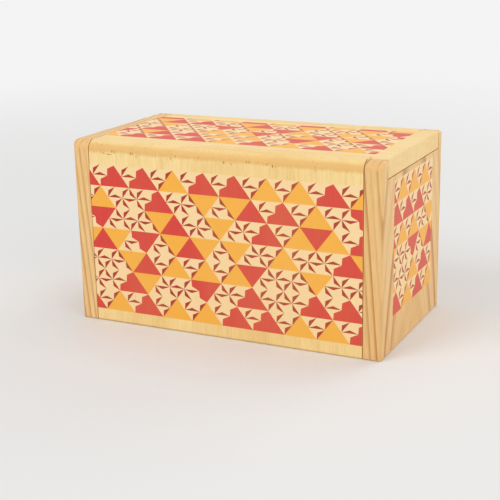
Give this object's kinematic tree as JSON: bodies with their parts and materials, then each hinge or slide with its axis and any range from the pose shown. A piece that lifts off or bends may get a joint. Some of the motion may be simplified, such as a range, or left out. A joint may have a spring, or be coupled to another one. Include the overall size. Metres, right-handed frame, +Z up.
{
  "type": "wooden puzzle box",
  "caption": "Rectangular wooden puzzle box with a printed triangle mosaic, sliding lid and bottom, sliding end panels and hidden lock keys.",
  "frame": {"origin": "middle of the box's base, on the surface it stands on", "axes": "+X along the box's length, from the left end panel to the right one; +Y from the front board to the back board; +Z up"},
  "size_m": [0.12, 0.066, 0.069],
  "materials": {
    "board_wood": "pale solid wood under a thin satin lacquer, with a printed mosaic of red, yellow and cream triangles",
    "end_wood": "pale solid wood with upright grain, thin satin lacquer",
    "inner_wood": "bare pale wood, sanded",
    "hard_wood": "bare brown hardwood, waxed where it slides"
  },
  "bodies": {
    "carcass": {"front_board": "board_wood", "back_board": "board_wood", "left_inner_wall": "inner_wood", "right_inner_wall": "inner_wood", "inner_floor": "inner_wood", "left_front_rail": "hard_wood", "left_back_rail": "hard_wood", "right_front_rail": "hard_wood", "right_back_rail": "hard_wood", "left_stop_peg": "hard_wood", "right_stop_peg": "hard_wood"},
    "lid": {"lid_panel": "board_wood", "lid_batten": "inner_wood"},
    "bottom": {"bottom_panel": "board_wood", "bottom_batten": "inner_wood"},
    "left_end": {"left_end_panel": "end_wood"},
    "right_end": {"right_end_panel": "end_wood"},
    "lid_lock": {"lid_key": "hard_wood", "lid_key_pin": "hard_wood"},
    "bottom_lock": {"bottom_key": "hard_wood", "bottom_key_pin": "hard_wood"}
  },
  "joints": [
    {"name": "lid_slide", "type": "slide", "parent": "carcass", "child": "lid", "axis": [1, 0, 0], "range_m": [0, 0.0848]},
    {"name": "bottom_slide", "type": "slide", "parent": "carcass", "child": "bottom", "axis": [-1, 0, 0], "range_m": [0, 0.0848]},
    {"name": "left_end_slide", "type": "slide", "parent": "carcass", "child": "left_end", "axis": [0, 0, 1], "range_m": [0, 0.006]},
    {"name": "right_end_slide", "type": "slide", "parent": "carcass", "child": "right_end", "axis": [0, 0, -1], "range_m": [0, 0.006]},
    {"name": "lid_key_slide", "type": "slide", "parent": "carcass", "child": "lid_lock", "axis": [0, 1, 0], "range_m": [0, 0.008]},
    {"name": "bottom_key_slide", "type": "slide", "parent": "carcass", "child": "bottom_lock", "axis": [0, 1, 0], "range_m": [0, 0.008]}
  ]
}
